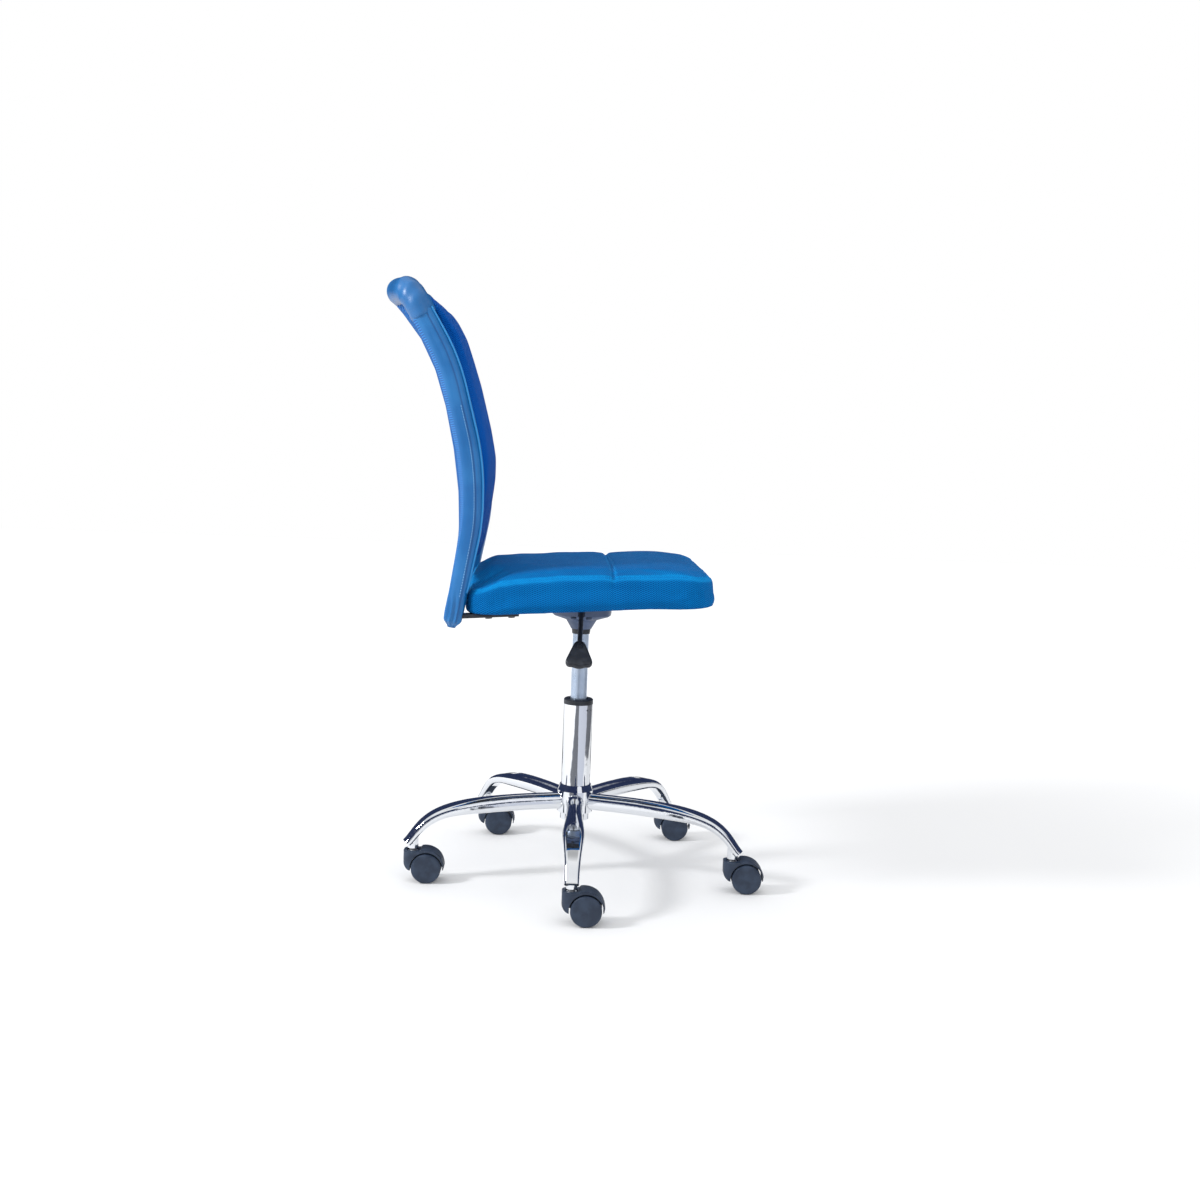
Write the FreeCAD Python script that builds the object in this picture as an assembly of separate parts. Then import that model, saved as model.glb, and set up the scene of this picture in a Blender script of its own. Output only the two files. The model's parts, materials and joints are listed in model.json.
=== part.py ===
import FreeCAD, Part
import math
import os

# Swivel office chair, millimetres.  The origin is on the floor under the gas column, +Z is up, the
# chair faces -Y and the height lever is on the -X side, which is the sitter's right.
# "forward" below is the distance in front of the column, so forward = -Y.

# Driving dimensions.
armCount = 5
armPitch = 72.0
baseTurn = -1.5             # how far the star base is turned under the seat, in degrees
stemRadius = 285.0          # column axis to caster stem
hubRadius = 31.0
hubBottom = 107.0
hubTop = 146.0
hubShoulderTop = 156.0
armWall = 1.8

wheelRadius = 25.0
wheelWidth = 17.0
wheelInnerFace = 5.5        # from the caster's middle plane
casterTrail = 24.0
hoodHalfWidth = 18.0
hoodClearRadius = 27.3      # wheel arch
stemPinRadius = 5.45
sleeveRadius = 9.0
sleeveBoreRadius = 5.5
sleeveBottom = 57.0
sleeveTop = 76.0
axleRadius = 2.95
axleBoreRadius = 3.0

columnRadius = 25.0
columnWall = 2.0
columnBottom = 95.0
columnTop = 298.0
rimTop = 307.0
rodRadius = 5.0
cylinderRadius = 14.0
cylinderWall = 1.5
cylinderBottom = 195.0
cylinderShoulder = 421.0
cylinderTop = 466.0
taperTopRadius = 13.2
runClearance = 0.05

seatTilt = 4.15             # degrees, front edge up
seatUnderside = 484.5       # height of the board's underside above the column
seatWidth = 414.0
seatDepth = 411.0
seatMiddle = 10.5           # forward
seatCorner = 52.0
seatSide = 60.0
boardThickness = 12.0
coverThickness = 1.6
dustThickness = 0.8

uprightOffset = 168.0       # middle plane to each upright of the back frame
tubeRadius = 11.0
tubeWall = 1.5
sleeveDepth = 38.5          # the upholstered side strip, front to rear
sleeveWidth = 38.0
topRollRadius = 21.5
backBow = 31.0              # how far the crossbar curves to the rear
footThickness = 7.0         # the flattened end of each upright, under the seat
footRear = -213.0
footFront = -106.0

leverTurn = -2.0            # how far the lever points behind square, in degrees
pivotX = -38.0
pivotZ = 471.0
leverRadius = 4.0

V = FreeCAD.Vector
up = V(0, 0, 1)
nodes = {}


# Helpers.
def at(x, forward, z):
    return V(x, -forward, z)


def tube(radius, bore, z0, z1, x=0.0, y=0.0):
    outer = Part.makeCylinder(radius, z1 - z0, V(x, y, z0))
    if bore <= 0:
        return outer
    return outer.cut(Part.makeCylinder(bore, z1 - z0 + 2, V(x, y, z0 - 1)))


def box(x0, x1, y0, y1, z0, z1):
    return Part.makeBox(x1 - x0, y1 - y0, z1 - z0, V(x0, y0, z0))


def turned(profile):
    """Solid of revolution about Z from (radius, z) points."""
    points = [V(r, 0, z) for r, z in profile]
    face = Part.Face(Part.makePolygon(points + points[:1]))
    return face.revolve(V(0, 0, 0), up, 360)


def fuse(shapes):
    whole = shapes[0]
    for shape in shapes[1:]:
        whole = whole.fuse(shape)
    return whole.removeSplitter()


def spun(shape, angle, centre=V(0, 0, 0)):
    copy = shape.copy()
    copy.rotate(centre, up, angle)
    return copy


def moved(shape, offset):
    copy = shape.copy()
    copy.translate(offset)
    return copy


def mirrored(shape):
    return shape.mirror(V(0, 0, 0), V(1, 0, 0))


def tilted(shape):
    """From the seat's own level frame, where z = 0 is the board's underside, to the chair."""
    copy = shape.copy()
    copy.rotate(V(0, 0, 0), V(1, 0, 0), -seatTilt)
    copy.translate(V(0, 0, seatUnderside))
    return copy


def roundedLoop(centre, across, along, width, depth, radius):
    """Rounded rectangle with its sides along two perpendicular unit vectors."""
    def place(u, v):
        return centre + across * u + along * v

    a = width / 2.0
    b = depth / 2.0
    k = radius * (1 - math.sqrt(0.5))
    edges = []
    for su, sv, swap in ((1, 1, False), (-1, 1, True), (-1, -1, False), (1, -1, True)):
        side = place(su * a, sv * (b - radius))
        end = place(su * (a - radius), sv * b)
        middle = place(su * (a - k), sv * (b - k))
        if swap:
            side, end = end, side
        edges.append(Part.Arc(side, middle, end).toShape())
        edges.append(end)
    wire = []
    for i in range(0, 8, 2):
        wire.append(edges[i])
        nextStart = edges[(i + 2) % 8].valueAt(edges[(i + 2) % 8].FirstParameter)
        wire.append(Part.LineSegment(edges[i + 1], nextStart).toShape())
    return Part.Wire(wire)


def roundedPath(points, radii):
    """Straight runs joined by tangent arcs, one radius for each inner point."""
    edges = []
    start = points[0]
    for i, radius in enumerate(radii):
        corner = points[i + 1]
        back = (points[i] - corner).normalize()
        ahead = (points[i + 2] - corner).normalize()
        half = back.getAngle(ahead) / 2.0
        reach = radius / math.tan(half)
        first = corner + back * reach
        last = corner + ahead * reach
        inward = (back + ahead).normalize()
        middle = corner + inward * (radius / math.sin(half) - radius)
        if start.distanceToPoint(first) > 0.01:
            edges.append(Part.LineSegment(start, first).toShape())
        edges.append(Part.Arc(first, middle, last).toShape())
        start = last
    edges.append(Part.LineSegment(start, points[-1]).toShape())
    return Part.Wire(edges)


def lofted(loops):
    solid = Part.makeLoft(loops, True, False)
    if solid.Volume < 0:
        solid.reverse()
    return solid


def pipe(path, section):
    return path.makePipeShell([section], True, False)


def roundPipe(path, radius):
    first = path.OrderedEdges[0]
    start = first.valueAt(first.FirstParameter)
    direction = first.tangentAt(first.FirstParameter)
    circle = Part.Wire(Part.Circle(start, direction, radius).toShape())
    return pipe(path, circle)


# Star base.
armStations = (                      # r, z of the centre, slope down in degrees, width, thickness
    (24.0, 127.0, 0.0, 27.5, 28.0),
    (58.0, 127.0, 0.2, 27.7, 28.0),
    (92.0, 127.0, 0.5, 28.0, 28.0),
    (150.0, 125.5, 3.0, 31.0, 26.5),
    (200.0, 121.8, 7.5, 36.0, 21.0),
    (232.0, 115.8, 18.0, 34.0, 16.5),
    (256.0, 105.5, 34.0, 29.5, 15.0),
    (276.5, 88.5, 48.0, 25.5, 13.5),
    (296.0, 65.5, 54.0, 23.5, 12.5),
)


def armShell(stations, shrink):
    """The bent and flattened arm tube along +X, made smaller all round by shrink."""
    loops = []
    for r, z, slope, width, thickness in stations:
        angle = math.radians(slope)
        normal = V(math.sin(angle), 0, math.cos(angle))
        w = width - 2 * shrink
        t = thickness - 2 * shrink
        loops.append(roundedLoop(V(r, 0, z), V(0, 1, 0), normal, w, t, 0.42 * t))
    return lofted(loops)


def makeArm():
    hubBody = Part.makeCylinder(hubRadius, 60, V(0, 0, 95))
    # the bore stops where the tube's end is pressed shut
    bore = armShell(armStations[:-1], armWall).cut(hubBody)
    arm = armShell(armStations, 0.0).cut(hubBody).cut(bore)
    return arm.cut(Part.makeCylinder(sleeveRadius, sleeveTop - 40, V(stemRadius, 0, 40)))


def armAngle(k):
    return 180.0 + baseTurn + armPitch * k


def makeBase():
    hub = turned([(columnRadius, hubBottom), (hubRadius - 2, hubBottom), (hubRadius, hubBottom + 2),
                  (hubRadius, hubTop), (columnRadius + 2, hubShoulderTop), (columnRadius, hubShoulderTop)])
    nodes["star_hub"] = hub
    arm = makeArm()
    sleeve = tube(sleeveRadius, sleeveBoreRadius, sleeveBottom, sleeveTop, stemRadius)
    sleeves = []
    for k in range(armCount):
        nodes["star_arm_%d" % (k + 1)] = spun(arm, armAngle(k))
        sleeves.append(spun(sleeve, armAngle(k)))
    nodes["caster_socket_sleeves"] = Part.makeCompound(sleeves)

    wall = tube(columnRadius, columnRadius - columnWall, columnBottom, columnTop)
    floor = tube(columnRadius, rodRadius + runClearance, columnBottom, columnBottom + 2.5)
    nodes["column_tube"] = fuse([wall, floor])
    bore = cylinderRadius + runClearance
    inner = columnRadius - columnWall
    nodes["column_bush"] = turned([
        (bore, 205), (inner, 205), (inner, columnTop), (columnRadius + 0.4, columnTop),
        (columnRadius + 0.4, rimTop - 1.5), (columnRadius - 1, rimTop), (bore + 3, rimTop),
        (bore, rimTop - 3)])
    nodes["thrust_washer"] = tube(12, rodRadius + 0.3, columnBottom + 2.5, columnBottom + 3.5)


# Gas lift.
def makeLift():
    bearingBottom = columnBottom + 3.6
    nodes["thrust_bearing"] = tube(12, rodRadius, bearingBottom, bearingBottom + 5)
    nodes["piston_rod"] = tube(rodRadius, 0, columnBottom - 5, cylinderBottom + 12)
    nodes["piston_head"] = tube(cylinderRadius - cylinderWall - runClearance, 0,
                                cylinderBottom + 12, cylinderBottom + 24)
    nodes["rod_clip"] = tube(8, rodRadius, columnBottom - 2.2, columnBottom - 0.2)

    inner = cylinderRadius - cylinderWall
    pinBore = 3.0 + runClearance
    nodes["gas_cylinder"] = turned([
        (inner, cylinderBottom), (cylinderRadius, cylinderBottom), (cylinderRadius, 429.5),
        (taperTopRadius, cylinderTop), (pinBore, cylinderTop), (pinBore, 440), (0, 440),
        (0, 405), (inner, 405)])
    nodes["cylinder_seal"] = tube(inner, rodRadius + runClearance, cylinderBottom + 1, cylinderBottom + 11)
    nodes["taper_collar"] = turned([(cylinderRadius, cylinderShoulder), (15.4, cylinderShoulder),
                                    (16.4, 429.5), (cylinderRadius, 429.5)])
    nodes["valve_pin"] = turned([(0, 450), (3.0, 450), (3.0, 468.5), (1.5, 470), (0, 470)])


# Swivel plate and lever.
def makePlate():
    dish = turned([
        (cylinderRadius, 429.5), (17.5, 429.5), (26.5, 445), (32, 447), (39.5, 449.5), (47.5, 452),
        (51, 455), (56, 505), (53.5, 505), (48.6, 456.4), (46.4, 454.5), (39, 452), (31.5, 449.6),
        (18, 449.6), (17, cylinderTop), (taperTopRadius, cylinderTop)])
    above = tilted(box(-100, 100, -100, 100, -3.0, 60))
    dish = dish.cut(above)
    flange = tilted(tube(85, 54, -3.0, 0))
    joining = tilted(tube(60, 51, -3.0, 0)).common(tube(56.5, 49, 430, 520))
    plate = fuse([dish, flange, joining])
    plate = plate.cut(spun(box(-70, -40, -5.5, 5.5, 455.5, 476), leverTurn))
    for side in (-13, 13):
        plate = plate.cut(spun(box(-60, -38, side - 4.5, side + 4.5, 449.5, 455), leverTurn))
    for x, forward in plateBolts:
        plate = plate.cut(tilted(tube(3.2, 0, -4, 1, x, -forward)))
    nodes["swivel_plate"] = plate

    ears = [box(pivotX - 6, pivotX + 6, -9, 9, pivotZ + 9, pivotZ + 25)]
    for y0, y1 in ((-9, -7), (7, 9)):
        ears.append(box(pivotX - 6, pivotX + 6, y0, y1, pivotZ - 6, pivotZ + 9))
    pin = Part.makeCylinder(2.5, 20, V(pivotX, -10, pivotZ), V(0, 1, 0))
    bracket = spun(fuse(ears + [pin]), leverTurn)
    nodes["lever_bracket"] = bracket.cut(tilted(box(-100, 100, -100, 100, 0, 60)))

    boss = Part.makeCylinder(5.5, 13, V(pivotX, -6.5, pivotZ), V(0, 1, 0))
    finger = box(pivotX, 4.0, -4, 4, 470.4, 474.4)
    path = roundedPath([V(pivotX, 0, pivotZ), V(-62, 0, 466.5), V(-176, 0, 421)], [60])
    rod = fuse([boss, finger, roundPipe(path, leverRadius)])
    rod = rod.cut(Part.makeCylinder(2.5 + runClearance, 30, V(pivotX, -15, pivotZ), V(0, 1, 0)))
    nodes["lever_rod"] = spun(rod, leverTurn)
    nodes["lever_paddle"] = spun(makePaddle().cut(roundPipe(path, leverRadius)), leverTurn)


def makePaddle():
    """Triangular grip, narrow at the top, hanging outwards from the end of the rod."""
    outline = roundedPath([V(0, 0, 0), V(0, 8, 2), V(0, 21, 46), V(0, 0, 52)], [6, 8])
    half = outline.Edges
    other = [edge.mirror(V(0, 0, 0), V(0, 1, 0)) for edge in half]
    face = Part.Face(Part.Wire(Part.__sortEdges__(half + other)))
    grip = face.extrude(V(12, 0, 0))
    grip.translate(V(-6, 0, 0))
    grip.rotate(V(0, 0, 0), V(0, 1, 0), 225)
    grip.translate(V(-160, 0, 428))
    return grip


# Seat.
plateBolts = [(x, forward) for x in (-55, 55) for forward in (-55, 55)]
frameBolts = [(x, forward) for x in (-uprightOffset, uprightOffset) for forward in (-155, -118)]


def cushion(inset, bottom):
    """Crowned square pad in the seat's own frame; inset makes it smaller on every covered side."""
    stations = (                     # height as a share of the side, then how far in from the edge
        (0.00, 5.0), (0.20, 1.0), (0.55, 0.0), (0.83, 4.0), (0.98, 13.0), (1.09, 45.0), (1.16, 110.0))
    loops = []
    for share, edge in stations:
        z = share * seatSide
        if share == 0.0:
            z = bottom
        else:
            z -= inset * share
        width = seatWidth - 2 * (edge + inset)
        depth = seatDepth - 2 * (edge + inset)
        corner = min(seatCorner + 0.15 * edge - inset, 0.45 * width)
        loops.append(roundedLoop(at(0, seatMiddle, z), V(1, 0, 0), V(0, 1, 0), width, depth, corner))
    return lofted(loops)


def makeSeat():
    outer = cushion(0.0, 0.0)
    inner = cushion(coverThickness, 0.0)
    below = box(-300, 300, -300, 300, -30, 0)
    nodes["seat_cover"] = tilted(outer.cut(inner).cut(below))
    boardWidth = seatWidth - 26
    boardDepth = seatDepth - 26
    loop = roundedLoop(at(0, seatMiddle, 0), V(1, 0, 0), V(0, 1, 0), boardWidth, boardDepth, 44)
    blank = Part.Face(loop).extrude(V(0, 0, boardThickness))
    nodes["seat_foam"] = tilted(inner.cut(blank))

    board = blank
    nuts = []
    bolts = []
    for x, forward in plateBolts + frameBolts:
        y = -forward
        board = board.cut(tube(4.0, 0, -1, boardThickness + 1, x, y))
        board = board.cut(tube(9.0, 0, boardThickness - 1.2, boardThickness + 1, x, y))
        barrel = tube(4.0, 3.0, 3, boardThickness, x, y)
        flange = tube(9.0, 3.0, boardThickness - 1.2, boardThickness, x, y)
        nuts.append(tilted(fuse([barrel, flange])))
        under = -3.0 if (x, forward) in plateBolts else -footThickness - dustThickness
        shank = tube(3.0, 0, under, boardThickness, x, y)
        head = tube(5.5, 0, under - 2.5, under, x, y)
        socket = tube(2.2, 0, under - 3, under - 1.2, x, y)
        bolts.append(tilted(fuse([shank, head]).cut(socket)))
    nodes["seat_board"] = tilted(board)
    nodes["tee_nuts"] = Part.makeCompound(nuts)
    nodes["seat_bolts"] = Part.makeCompound(bolts)

    loop = roundedLoop(at(0, seatMiddle, -dustThickness), V(1, 0, 0), V(0, 1, 0),
                       seatWidth - 20, seatDepth - 20, 46)
    dust = Part.Face(loop).extrude(V(0, 0, dustThickness))
    dust = dust.cut(tube(87, 0, -5, 5))
    for x, forward in frameBolts:
        dust = dust.cut(tube(3.5, 0, -5, 5, x, -forward))
    nodes["seat_dust_cover"] = tilted(dust)


# Back.
sidePoints = (                        # forward, z of the upright's centre line, bottom to top
    (-212.0, 462.0), (-186.0, 618.0), (-187.0, 712.0), (-228.0, 868.0), (-292.0, 978.5))
sideRadii = [300.0, 420.0, 330.0]
cornerRadius = 34.0
bowRadius = 150.0
strapEnd = 46.0                       # from the top corner down to where side and top sleeves meet
sleeveDrop = 15.0                     # the sleeve hangs this far below the tube
panelHalf = 145.6
panelBottom = 545.0


def shifted(point, toward, distance):
    """The point moved some way towards another one."""
    return point + (toward - point).normalize() * distance


def sidePath(x):
    points = [at(x, forward, z) for forward, z in sidePoints]
    points[0] = shifted(points[0], points[1], -sleeveDrop)
    points[-1] = shifted(points[-1], points[-2], strapEnd)
    return roundedPath(points, sideRadii)


def crossbarPoints():
    topForward, topZ = sidePoints[-1]
    left = [at(-uprightOffset, topForward, topZ),
            at(-uprightOffset * 0.45, topForward - backBow * 0.85, topZ + 4)]
    return left + [V(-p.x, p.y, p.z) for p in reversed(left)]


def framePath():
    left = [at(-uprightOffset, forward, z) for forward, z in sidePoints[:-1]]
    right = [V(-p.x, p.y, p.z) for p in reversed(left)]
    corners = [cornerRadius, bowRadius, bowRadius, cornerRadius]
    return roundedPath(left + crossbarPoints() + right, sideRadii + corners + sideRadii[::-1])


def topPath():
    points = crossbarPoints()
    below = at(-uprightOffset, *sidePoints[-2])
    first = shifted(points[0], below, strapEnd)
    last = V(-first.x, first.y, first.z)
    return roundedPath([first] + points + [last], [cornerRadius, bowRadius, bowRadius, cornerRadius])


def uprightForward(z, centreLine):
    """Forward place of an upright's centre line at a height."""
    for low, high in zip(centreLine, centreLine[1:]):
        if low.z <= z <= high.z:
            share = (z - low.z) / (high.z - low.z)
            return -(low.y + (high.y - low.y) * share)
    return -centreLine[-1].y


def crescent(z, sideRear, midRear, midFront, sideFront):
    """Closed outline of a bowed panel at one height."""
    left = at(-panelHalf, sideRear, z)
    right = at(panelHalf, sideRear, z)
    leftFront = at(-panelHalf, sideFront, z)
    rightFront = at(panelHalf, sideFront, z)
    return Part.Wire([
        Part.Arc(left, at(0, midRear, z), right).toShape(),
        Part.LineSegment(right, rightFront).toShape(),
        Part.Arc(rightFront, at(0, midFront, z), leftFront).toShape(),
        Part.LineSegment(leftFront, left).toShape()])


def makeFrame():
    path = framePath()
    frame = roundPipe(path, tubeRadius).cut(roundPipe(path, tubeRadius - tubeWall))
    feet = []
    for side in (-1, 1):
        x = side * uprightOffset
        loop = roundedLoop(at(x, footRear, -footThickness / 2 - dustThickness), V(1, 0, 0), V(0, 0, 1), 26,
                           footThickness, 3)
        foot = Part.Face(loop).extrude(V(0, footRear - footFront, 0))
        for bx, forward in frameBolts:
            foot = foot.cut(tube(3.2, 0, -15, 5, bx, -forward))
        feet.append(tilted(foot))
    nodes["back_frame"] = fuse([frame] + feet)
    return feet


def makeBack():
    feet = makeFrame()
    for side, name in ((-1, "back_side_sleeve_right"), (1, "back_side_sleeve_left")):
        path = sidePath(side * uprightOffset)
        first = path.OrderedEdges[0]
        start = first.valueAt(first.FirstParameter)
        ahead = first.tangentAt(first.FirstParameter)
        across = V(1, 0, 0)
        loop = roundedLoop(start, across, ahead.cross(across), sleeveWidth, sleeveDepth, 12)
        strip = pipe(path, loop).cut(roundPipe(path, tubeRadius))
        for foot in feet:
            strip = strip.cut(foot)
        nodes[name] = max(strip.Solids, key=lambda solid: solid.Volume)
        # the soft rear corners of the seat are pressed in where the strips lean on them
        for soft in ("seat_cover", "seat_foam"):
            pressed = nodes[soft].cut(nodes[name])
            nodes[soft] = max(pressed.Solids, key=lambda solid: solid.Volume)

    path = topPath()
    nodes["back_top_sleeve"] = roundPipe(path, topRollRadius).cut(roundPipe(path, tubeRadius))

    centreLine = framePath().discretize(600)[:300]
    rearStations = (                  # height, forward of the mesh in the middle
        (panelBottom, -214), (600, -213), (660, -216), (730, -226), (800, -241), (860, -260),
        (910, -285), (952, -317))
    meshLoops = []
    for z, middle in rearStations:
        side = uprightForward(z, centreLine) - 15
        meshLoops.append(crescent(z, side, middle, middle + 2.0, side + 2.0))
    nodes["back_rear_mesh"] = lofted(meshLoops)

    frontStations = (                 # height, forward of the pad in the middle, thickness
        (panelBottom + 2, -177, 18), (600, -168, 20), (641, -162, 24), (680, -156, 30),
        (715, -156, 31), (764, -166, 30), (834, -183, 34), (874, -196, 34), (913, -212, 34),
        (942, -230, 28), (960, -244, 20), (974, -257, 11))
    foamLoops = []
    coverLoops = []
    for z, middle, thickness in frontStations:
        rear = middle - thickness
        edge = middle - 7
        skin = coverThickness
        front = skin + 0.1
        foamLoops.append(crescent(z, rear - 1, rear - 4, middle - front, edge - front))
        coverLoops.append(crescent(z, edge - skin, middle - skin, middle, edge))
    cover = lofted(coverLoops)
    nodes["back_pad_foam"] = lofted(foamLoops).cut(cover)
    nodes["back_front_cover"] = cover


# Casters, each made with its stem on the Z axis and its wheels in front.
def turnedAlongX(profile):
    points = [V(x, 0, r) for x, r in profile]
    face = Part.Face(Part.makePolygon(points + points[:1]))
    return face.revolve(V(0, 0, 0), V(1, 0, 0), 360)


def casterSide(t, z, x=0.0):
    """Point of the caster's side view; t is the distance in front of the axle."""
    return V(x, -(casterTrail + t), z)


def makeHood():
    p = casterSide
    outline = Part.Wire([
        Part.LineSegment(p(-39, 33), p(-39, 53.5)).toShape(),
        Part.LineSegment(p(-39, 53.5), p(-12, 53.5)).toShape(),
        Part.LineSegment(p(-12, 53.5), p(-9, 56.5)).toShape(),
        Part.Arc(p(-9, 56.5), p(16, 50.8), p(30, 28)).toShape(),
        Part.LineSegment(p(30, 28), p(28.6, 21.5)).toShape(),
        Part.LineSegment(p(28.6, 21.5), p(-27.8, 21)).toShape(),
        Part.Arc(p(-27.8, 21), p(-35.5, 26), p(-39, 33)).toShape()])
    blank = Part.Face(outline).extrude(V(2 * hoodHalfWidth, 0, 0))
    blank.translate(V(-hoodHalfWidth, 0, 0))
    plan = roundedLoop(V(0, -casterTrail + 4.4, 0), V(1, 0, 0), V(0, 1, 0), 2 * hoodHalfWidth, 69.8, 14)
    body = blank.common(Part.Face(plan).extrude(V(0, 0, 80)))
    axleStart = casterSide(0, wheelRadius, -50)
    body = body.cut(Part.makeCylinder(hoodClearRadius, 100, axleStart, V(1, 0, 0)))
    corners = [p(-30, 45), p(-18, 50), p(5, 52.5), p(6, 25), p(0, 17.5), p(-8, 18), p(-30, 28)]
    web = Part.Face(Part.makePolygon(corners + corners[:1])).extrude(V(9, 0, 0))
    web.translate(V(-4.5, 0, 0))
    hood = fuse([body, web])
    hood = hood.cut(Part.makeCylinder(axleRadius, 100, axleStart, V(1, 0, 0)))
    hood = hood.cut(tube(10.5, 0, 50, 80))
    return hood.cut(tube(stemPinRadius, 0, 36, 60))


def makeCasters():
    hood = makeHood()
    stem = fuse([tube(stemPinRadius, 0, 36, 75.5), tube(8.5, 0, 50, 52.5)])
    axleStart = casterSide(0, wheelRadius, -20)
    axle = Part.makeCylinder(axleRadius, 40, axleStart, V(1, 0, 0))
    inside = wheelInnerFace
    outside = wheelInnerFace + wheelWidth
    wheel = turnedAlongX([
        (20.3, 0), (20.3, axleBoreRadius), (inside, axleBoreRadius), (inside, 8), (16, 8), (16, 20),
        (inside, 20), (inside, wheelRadius - 1.2), (inside + 1.2, wheelRadius),
        (outside - 3, wheelRadius), (outside - 0.8, wheelRadius - 1.2), (outside, wheelRadius - 3.5),
        (outside + 0.9, 0)])
    wheelLeft = moved(wheel, casterSide(0, wheelRadius))
    wheelRight = mirrored(wheelLeft)
    pieces = (("hood", hood), ("stem", stem), ("axle", axle), ("wheel_a", wheelRight),
              ("wheel_b", wheelLeft))
    for k in range(armCount):
        angle = math.radians(armAngle(k))
        place = V(stemRadius * math.cos(angle), stemRadius * math.sin(angle), 0)
        for name, shape in pieces:
            nodes["caster_%d_%s" % (k + 1, name)] = moved(spun(shape, baseTurn), place)


makeBase()
makeLift()
makePlate()
makeSeat()
makeBack()
makeCasters()

os.makedirs("parts", exist_ok=True)
for name, shape in nodes.items():
    print(name, shape.isValid(), round(shape.Volume), len(shape.Solids))
    shape.exportStep("parts/%s.step" % name)
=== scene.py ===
import bpy
import bmesh
import json
import math
from mathutils import Matrix, Vector, noise


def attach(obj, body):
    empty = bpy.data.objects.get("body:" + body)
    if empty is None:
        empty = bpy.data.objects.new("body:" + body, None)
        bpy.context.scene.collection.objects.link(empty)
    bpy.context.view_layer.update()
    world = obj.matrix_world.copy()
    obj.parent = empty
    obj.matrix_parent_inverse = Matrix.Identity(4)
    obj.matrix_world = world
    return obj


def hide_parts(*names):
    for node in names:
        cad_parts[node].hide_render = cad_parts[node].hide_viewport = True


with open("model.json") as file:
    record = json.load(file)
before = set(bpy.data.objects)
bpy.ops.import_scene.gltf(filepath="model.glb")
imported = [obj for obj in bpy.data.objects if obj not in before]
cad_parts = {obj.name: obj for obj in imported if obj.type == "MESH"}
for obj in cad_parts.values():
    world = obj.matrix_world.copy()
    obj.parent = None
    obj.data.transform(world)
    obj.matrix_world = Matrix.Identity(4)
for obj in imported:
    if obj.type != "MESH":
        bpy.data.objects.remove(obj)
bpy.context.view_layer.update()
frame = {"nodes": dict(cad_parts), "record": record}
nodes = frame["nodes"]
print("frame loaded")

mm = 0.001
tau = 2 * math.pi


class Wire:
    # one output socket of a node tree, so that sums can be written as sums
    def __init__(self, tree, socket):
        self.tree = tree
        self.socket = socket

    def math(self, operation, *others):
        return self.tree.node("Math", {"operation": operation}, [self, *others])

    def __add__(self, other):
        return self.math("ADD", other)

    def __sub__(self, other):
        return self.math("SUBTRACT", other)

    def __rsub__(self, other):
        return self.tree.node("Math", {"operation": "SUBTRACT"}, [other, self])

    def __mul__(self, other):
        return self.math("MULTIPLY", other)

    def __truediv__(self, other):
        return self.math("DIVIDE", other)

    def __rtruediv__(self, other):
        return self.tree.node("Math", {"operation": "DIVIDE"}, [other, self])

    __radd__ = __add__
    __rmul__ = __mul__

    def sin(self):
        return self.math("SINE")

    def fract(self):
        return self.math("FRACT")

    def absolute(self):
        return self.math("ABSOLUTE")

    def smooth(self, low, high, start=0.0, end=1.0):
        settings = {"interpolation_type": "SMOOTHSTEP"}
        inputs = {"Value": self, "From Min": low, "From Max": high, "To Min": start, "To Max": end}
        return self.tree.node("MapRange", settings, inputs)


class Tree:
    # a node tree that is written as calls
    def __init__(self, nodes, links):
        self.nodes = nodes
        self.links = links

    def node(self, kind, settings=None, inputs=None, out=0):
        # a shader node's kind is given without its prefix; its settings come before its sockets
        if not kind.startswith(("GeometryNode", "FunctionNode")):
            kind = "ShaderNode" + kind
        made = self.nodes.new(kind)
        for key, value in (settings or {}).items():
            if key == "ramp":
                self.fillRamp(made.color_ramp, value)
            else:
                setattr(made, key, value)
        pairs = enumerate(inputs) if isinstance(inputs, (list, tuple)) else (inputs or {}).items()
        for key, value in pairs:
            socket = made.inputs[key]
            if isinstance(value, Wire):
                self.links.new(value.socket, socket)
            else:
                socket.default_value = value
        return Wire(self, made.outputs[out])

    def fillRamp(self, ramp, stops):
        while len(ramp.elements) > 1:
            ramp.elements.remove(ramp.elements[-1])
        for i, (place, value) in enumerate(stops):
            stop = ramp.elements[0] if i == 0 else ramp.elements.new(place)
            stop.position = place
            stop.color = rgba(*value)


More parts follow.
